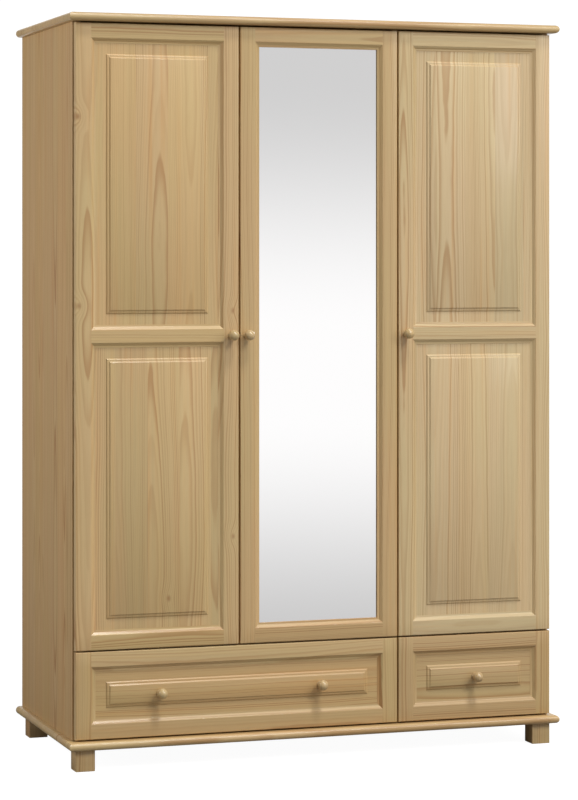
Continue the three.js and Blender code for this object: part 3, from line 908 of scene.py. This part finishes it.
@dataclass
class Carcass:
    """The fixed cabinet: boards, back, shelves, feet, rail and runners."""

    finishes: Finishes
    nosing: float = 10.3 * MM
    rebate_depth: float = 6 * MM
    pin_radius: float = 2.5 * MM

    def build(self) -> None:
        """Makes the whole cabinet."""
        f = self.finishes
        for node in ("cornice_board", "base_board"):
            self._nosed(node)
        for node in ("left_side_panel", "right_side_panel"):
            self._side(node)
        Board("partition_panel", Lay.UPRIGHT_SIDE).build(f.side)
        for node in ("wide_bay_floor", "narrow_bay_floor"):
            Board(node, Lay.LEVEL_TOP).build(f.level)
        for node in ("hat_shelf", "narrow_shelf_1", "narrow_shelf_2", "narrow_shelf_3"):
            Board(node, Lay.LEVEL_TOP).build(f.level)
            self._pins(node)
        back = Board("back_panel", Lay.UPRIGHT_FRONT, staves=0.61, edge=0.4 * MM, slot="plywood")
        back.build(f.ply)
        for end in ("front_left", "front_right", "rear_left", "rear_right"):
            foot = Board(f"{end}_foot", Lay.UPRIGHT_FRONT, staves=ONE_BOARD, edge=1.6 * MM)
            foot.build(f.door.stile)
        self._rail()
        self._nails()
        for bay in ("wide", "narrow"):
            for side in ("left", "right"):
                dress_node(f"{bay}_drawer_runner_{side}", f.runner)

    def _nosed(self, node: str) -> None:
        """A top or base board with a half-round front and ends."""
        low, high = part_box(node)
        piece = Piece.block(f"{node}_nosed", low, high)
        piece.edit()
        piece.pick_edges(lambda a, b: near(a.z, b.z) and not near(a.y, b.y, high.y))
        bpy.ops.mesh.bevel(offset=self.nosing, segments=8, affect="EDGES")
        piece.leave()
        Board(node, Lay.LEVEL_TOP).finish(piece, low, high, self.finishes.level)

    def _side(self, node: str) -> None:
        """A side panel with a rebate for the back."""
        low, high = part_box(node)
        back_low, back_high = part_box("back_panel")
        is_left = low.x < 0
        line = back_low.x - GAP if is_left else back_high.x + GAP
        short = high.copy()
        short.y = high.y - self.rebate_depth
        piece = Piece.block(f"{node}_wood", low, short)
        piece.edit()
        piece.cut_lines(0, [line])
        piece.pick_faces(lambda c, n: n.y > FACING and (c.x < line if is_left else c.x > line))
        bpy.ops.mesh.extrude_region_move(TRANSFORM_OT_translate={"value": (0.0, self.rebate_depth, 0.0)})
        piece.leave()
        piece.edit()
        arrises = [(x, y) for x in (low.x, high.x) for y in (low.y, high.y)]
        piece.pick_edges(lambda a, b: any(near(a.x, b.x, x) and near(a.y, b.y, y) for x, y in arrises))
        bpy.ops.mesh.bevel(offset=1.2 * MM, segments=2, affect="EDGES")
        piece.leave()
        Board(node, Lay.UPRIGHT_SIDE).finish(piece, low, high, self.finishes.side)

    def _pins(self, shelf: str) -> None:
        """Four pins under a loose shelf, as one piece."""
        low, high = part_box(shelf)
        pins = []
        collar, from_edge = self.pin_radius, 40 * MM
        steps = [(0.0, collar), (7 * MM, collar), (7.6 * MM, collar * 0.7)]
        for x, out in ((low.x, TO_RIGHT), (high.x, -TO_RIGHT)):
            for y in (low.y + from_edge, high.y - from_edge):
                foot = Vector((x, y, low.z - collar - 0.1 * MM))
                pins.append(Piece.turned(f"{shelf}_pins", foot, out, steps, 16))
        self._fit_small(pins)

    def _fit_small(self, pieces: list[Piece]) -> None:
        """Joins small fittings into one plated piece of the cabinet."""
        pieces[0].joined(pieces[1:]).dress(self.finishes.nickel).fit("cabinet", "hinge_metal")

    def _rail(self) -> None:
        """The wooden hanging rail and its two sockets."""
        low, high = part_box("hanging_rail")
        centre = (low + high) / 2
        radius, length, chamfer = (high.z - low.z) / 2, high.x - low.x, 0.8 * MM
        start = Vector((low.x, centre.y, centre.z))
        steps = [(0.0, radius - chamfer), (chamfer, radius)]
        steps += [(length - chamfer, radius), (length, radius - chamfer)]
        rail = Piece.turned("hanging_rail_turned", start, TO_RIGHT, steps, 40)
        rail.mark_one(new_seed(), centre.y)
        rail.dress(self.finishes.level).fit("cabinet", "pine_turned", "hanging_rail")
        flange, cup, wall = 25 * MM, radius + 3.2 * MM, radius + 0.4 * MM
        steps = [(0.0, flange), (1.6 * MM, flange), (2.4 * MM, flange - 1 * MM), (3 * MM, cup + 1 * MM)]
        steps += [(4 * MM, cup), (15 * MM, cup), (15.6 * MM, cup - 0.6 * MM)]
        steps += [(15.6 * MM, wall), (1.0 * MM, wall)]
        for label, x, out in (("left", low.x, TO_RIGHT), ("right", high.x, -TO_RIGHT)):
            foot = Vector((x, centre.y, centre.z))
            socket = Piece.turned(f"rail_socket_{label}", foot, out, steps, 40)
            socket.dress(self.finishes.plastic).fit("cabinet", "runner_metal")

    def _nails(self) -> None:
        """Nail heads round the back panel and down the partition, as one piece."""
        low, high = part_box("back_panel")
        partition_low, partition_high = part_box("partition_panel")
        from_edge = 5 * MM
        columns = [low.x + from_edge, (partition_low.x + partition_high.x) / 2, high.x - from_edge]
        count, margin = 12, 30 * MM
        spacing = (high.z - low.z - 2 * margin) / (count - 1)
        head = [(0.0, 2.2 * MM), (0.5 * MM, 1.7 * MM)]
        nails = []
        for x in columns:
            for i in range(count):
                foot = Vector((x, high.y, low.z + margin + spacing * i))
                nails.append(Piece.turned("back_nails", foot, TO_BACK, head, 10))
        self._fit_small(nails)


@dataclass
class Hinges:
    """The concealed hinges of one door: two from the frame and one more between them."""

    door: str
    finishes: Finishes
    plate_thickness: float = 2.0 * MM

    def build(self) -> None:
        """Dresses the frame's hinge pieces and adds the missing links, the middle hinge and screws."""
        door = self.door
        heights = {end: self._height(f"{door}_hinge_arm_{end}") for end in ("top", "bottom")}
        for part in ("arm_top", "arm_bottom", "cup_top", "cup_bottom", "link_top"):
            dress_node(f"{door}_hinge_{part}", self.finishes.nickel)
        self._copy(f"{door}_hinge_link_top", f"{door}_hinge_link_bottom", heights["bottom"], f"{door}_links")
        for kind, body in (("arm", "cabinet"), ("cup", door), ("link", f"{door}_links")):
            self._copy(f"{door}_hinge_{kind}_top", f"{door}_hinge_{kind}_middle", MIDDLE_HINGE_HEIGHT, body)
        arm_low, arm_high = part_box(f"{door}_hinge_arm_top")
        cup_low, cup_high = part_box(f"{door}_hinge_cup_top")
        wall_x, out = (arm_low.x, TO_RIGHT) if door == "left_door" else (arm_high.x, -TO_RIGHT)
        plate = Vector((wall_x, (arm_low.y + arm_high.y) / 2, 0.0)) + out * self.plate_thickness
        cup_face = Vector(((cup_low.x + cup_high.x) / 2, cup_high.y, 0.0))
        for label, z in {**heights, "middle": MIDDLE_HINGE_HEIGHT}.items():
            up = Vector((0.0, 0.0, z))
            self._screws(f"{door}_plate_screws_{label}", "cabinet", plate + up, out, 16 * MM, 3.6 * MM)
            self._screws(f"{door}_cup_screws_{label}", door, cup_face + up, TO_BACK, 23 * MM, 2.4 * MM)

    def _screws(self, name: str, body: str, place: Vector, axis: Vector, apart: float, radius: float) -> None:
        """A pair of screws, as one piece.

        Args:
            name: The piece's name.
            body: The body that it moves with.
            place: Midway between the screws, on the surface under their heads.
            axis: The surface's outward direction.
            apart: How far each screw is above or below that place.
            radius: The radius of a head.
        """
        feet = (place + Vector((0.0, 0.0, dz)) for dz in (-apart, apart))
        low_screw, high_screw = (screw(name, foot, axis, radius) for foot in feet)
        low_screw.joined([high_screw]).dress(self.finishes.nickel).fit(body, "hinge_metal")

    def _height(self, node: str) -> float:
        """The height of a node's middle."""
        low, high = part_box(node)
        return (low.z + high.z) / 2

    def _copy(self, node: str, name: str, height: float, body: str) -> None:
        """Makes a new piece like a node of the frame at another height."""
        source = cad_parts[node]
        low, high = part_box(node)
        obj = bpy.data.objects.new(name, source.data.copy())
        bpy.context.scene.collection.objects.link(obj)
        select_only(obj)
        obj.location.z = height - (low.z + high.z) / 2
        piece = Piece(name)
        piece.edit()
        piece.leave()
        piece.dress(self.finishes.nickel).fit(body, "hinge_metal")


@dataclass
class Door:
    """A framed door with two raised panels, a knob and hinges."""

    name: str
    finishes: Finishes

    def build(self) -> None:
        """Makes the door."""
        low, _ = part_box(f"{self.name}_frame")
        panels = [RaisedPanel(f"{self.name}_{part}_panel", self.name) for part in ("upper", "lower")]
        cups = [f"{self.name}_hinge_cup_{end}" for end in ("top", "bottom")]
        openings = [panel.opening() for panel in panels]
        Front(f"{self.name}_frame", self.name, openings, PANEL_GROOVE, cups).build(self.finishes)
        for panel in panels:
            panel.build(self.finishes, low.y)
        Knob(f"{self.name}_knob", self.name).build(self.finishes)
        Hinges(self.name, self.finishes).build()


@dataclass
class MirrorDoor:
    """A framed door round one tall mirror with a backing board."""

    finishes: Finishes
    sheet_margin: float = 9.7 * MM

    def build(self) -> None:
        """Makes the door."""
        f = self.finishes
        low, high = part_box("mirror_glass")
        lip = Opening.within(low, high, self.sheet_margin)
        cups = [f"mirror_door_hinge_cup_{end}" for end in ("top", "bottom")]
        Front("mirror_door_frame", "mirror_door", [lip], MIRROR_REBATE, cups).build(f)
        glass = Piece.block("mirror_sheet", low, high).soften(0.5 * MM, 1)
        glass.dress(f.mirror).fit("mirror_door", "mirror", "mirror_glass")
        backing = Board("mirror_backing", Lay.UPRIGHT_FRONT, 0.5, 0.4 * MM, "mirror_door", "plywood")
        backing.build(f.ply)
        Knob("mirror_door_knob", "mirror_door").build(f)
        Hinges("mirror_door", f).build()


@dataclass
class Drawer:
    """A drawer: framed front, knobs, a box of boards and a bottom."""

    name: str
    knobs: tuple[str, ...]
    finishes: Finishes
    wall: float = 12 * MM

    def build(self) -> None:
        """Makes the drawer."""
        f = self.finishes
        low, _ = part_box(f"{self.name}_front_frame")
        panel = RaisedPanel(f"{self.name}_front_panel", self.name, is_level=True)
        Front(f"{self.name}_front_frame", self.name, [panel.opening()], PANEL_GROOVE).build(f)
        panel.build(f, low.y)
        for knob in self.knobs:
            Knob(knob, self.name).build(f)
        self._box()
        Board(f"{self.name}_bottom", Lay.LEVEL_TOP, 0.5, 0.4 * MM, self.name, "plywood").build(f.ply)

    def _box(self) -> None:
        """Two sides, a front board and a back board, grooved for the bottom."""
        low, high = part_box(f"{self.name}_box")
        play = Vector((GAP, GAP, GAP))
        bottom_low, bottom_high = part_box(f"{self.name}_bottom")
        f, w = self.finishes, self.wall
        left, right, front, back = low.x + w, high.x - w, low.y + w, high.y - w
        boards = {
            "left_side": ((low.x, low.y), (left, high.y), f.drawer_side),
            "right_side": ((right, low.y), (high.x, high.y), f.drawer_side),
            "inner_front": ((left, low.y), (right, front), f.drawer.panel),
            "back": ((left, back), (right, high.y), f.drawer.panel),
        }
        for label, (start, end, material) in boards.items():
            corners = Vector((*start, low.z)), Vector((*end, high.z))
            piece = Piece.block(f"{self.name}_{label}", *corners).soften(0.8 * MM)
            piece.cut_away(Piece.block("groove", bottom_low - play, bottom_high + play))
            piece.mark_one(new_seed(), (low.z + high.z) / 2)
            piece.dress(material).fit(self.name, "pine_board", f"{self.name}_box")


# ---- studio


@dataclass(frozen=True)
class Lamp:
    """A square area light that looks at a point."""

    name: str
    place: Triple
    target: Triple
    size: float
    power: float

    def build(self) -> None:
        """Adds the light."""
        bpy.ops.object.light_add(type="AREA", location=self.place)
        light = bpy.context.object
        light.name = self.name
        away = Vector(self.place) - Vector(self.target)
        light.rotation_euler = away.to_track_quat("Z", "Y").to_euler()
        light.data.shape = "SQUARE"
        light.data.size = self.size
        light.data.energy = self.power


@dataclass
class Studio:
    """The camera, the pale floor and the soft light."""

    camera_place: Triple = (-2.3038, -6.9065, 1.2997)
    camera_turn: float = 18.509  # degrees to the right of straight ahead
    focal_length: float = 122.78  # millimetres
    film_width: float = 36.0  # millimetres
    shift: float = -0.1846
    sight: float = 200.0
    floor_size: float = 5.2
    white: float = 1.06  # the world's strength behind the object and in the card in front of it
    dim: float = 0.22  # its strength everywhere else
    lamps: tuple[Lamp, ...] = (
        Lamp("key_light", (2.6, -7.6, 18.6), (0.0, 0.0, 1.0), 3.2, 1570.0),
        Lamp("front_light", (3.6, -8.6, 8.2), (0.0, -0.2, 1.0), 4.0, 540.0),
        Lamp("left_fill", (-3.1, 0.2, 1.7), (-0.65, 0.1, 1.1), 1.6, 35.0),
        Lamp("right_fill", (3.4, -3.6, 2.6), (0.5, -0.3, 1.2), 1.8, 40.0),
    )

    def build(self) -> None:
        """Sets up the camera, floor, world and lights."""
        bpy.context.scene.view_settings.view_transform = "Standard"
        self._camera()
        self._floor()
        self._world()
        for lamp in self.lamps:
            lamp.build()

    def _camera(self) -> None:
        """Places the camera level, as a view camera with a falling front."""
        turn = (math.pi / 2, 0.0, -math.radians(self.camera_turn))
        bpy.ops.object.camera_add(location=self.camera_place, rotation=turn)
        camera = bpy.context.object
        camera.data.lens = self.focal_length
        camera.data.sensor_width = self.film_width
        camera.data.shift_y = self.shift
        camera.data.clip_end = self.sight
        bpy.context.scene.camera = camera

    def _floor(self) -> None:
        """A pale floor that looks white to the camera but throws little light back."""
        bpy.ops.mesh.primitive_plane_add(size=self.floor_size, location=(0.0, 0.0, -0.5 * MM))
        floor = bpy.context.object
        floor.name = "studio_floor"
        s = Shader.named("studio_floor")
        matt = s.add("BsdfDiffuse", {"Color": (0.2, 0.2, 0.2, 1.0)})
        glow = s.add("Emission", {"Color": (1.0, 1.0, 1.0, 1.0), "Strength": 0.96})
        seen = s.add("AddShader", {0: matt.outputs[0], 1: glow.outputs[0]})
        s.by_ray("OutputMaterial", matt, seen)
        floor.data.materials.append(s.owner)

    def _world(self) -> None:
        """White to the camera; in front a white band at eye height that greys up and down."""
        world = bpy.data.worlds.new("studio")
        bpy.context.scene.world = world
        s = Shader(world)
        x, y, z = s.place("Generated")
        above = z.smooth(-0.03, 0.065) * 0.38 + z.smooth(0.065, 0.3) * 0.38
        below = (0.0 - z).smooth(0.06, 0.15) * 0.45 + (0.0 - z).smooth(0.15, 0.3) * 0.3
        card = self.white - (above + below) * (1.0 - y.smooth(-0.3, 0.3))
        in_sight = x.smooth(-0.08, 0.08) * (y * y).smooth(0.55, 0.75)
        light = self.dim + (card - self.dim) * in_sight
        lit = s.add("Background", {"Color": s.vector(light, light, light), "Strength": 1.0})
        white = s.add("Background", {"Color": (1.0, 1.0, 1.0, 1.0), "Strength": self.white})
        s.by_ray("OutputWorld", lit, white)


def main() -> None:
    """Builds the wardrobe and the studio round it."""
    logging.basicConfig(level=logging.INFO, format="%(name)s: %(message)s")
    Studio().build()
    finishes = Finishes()
    Carcass(finishes).build()
    Door("left_door", finishes).build()
    MirrorDoor(finishes).build()
    Door("right_door", finishes).build()
    Drawer("wide_drawer", ("wide_drawer_knob_left", "wide_drawer_knob_right"), finishes).build()
    Drawer("narrow_drawer", ("narrow_drawer_knob",), finishes).build()


if __name__ == "__main__":
    main()
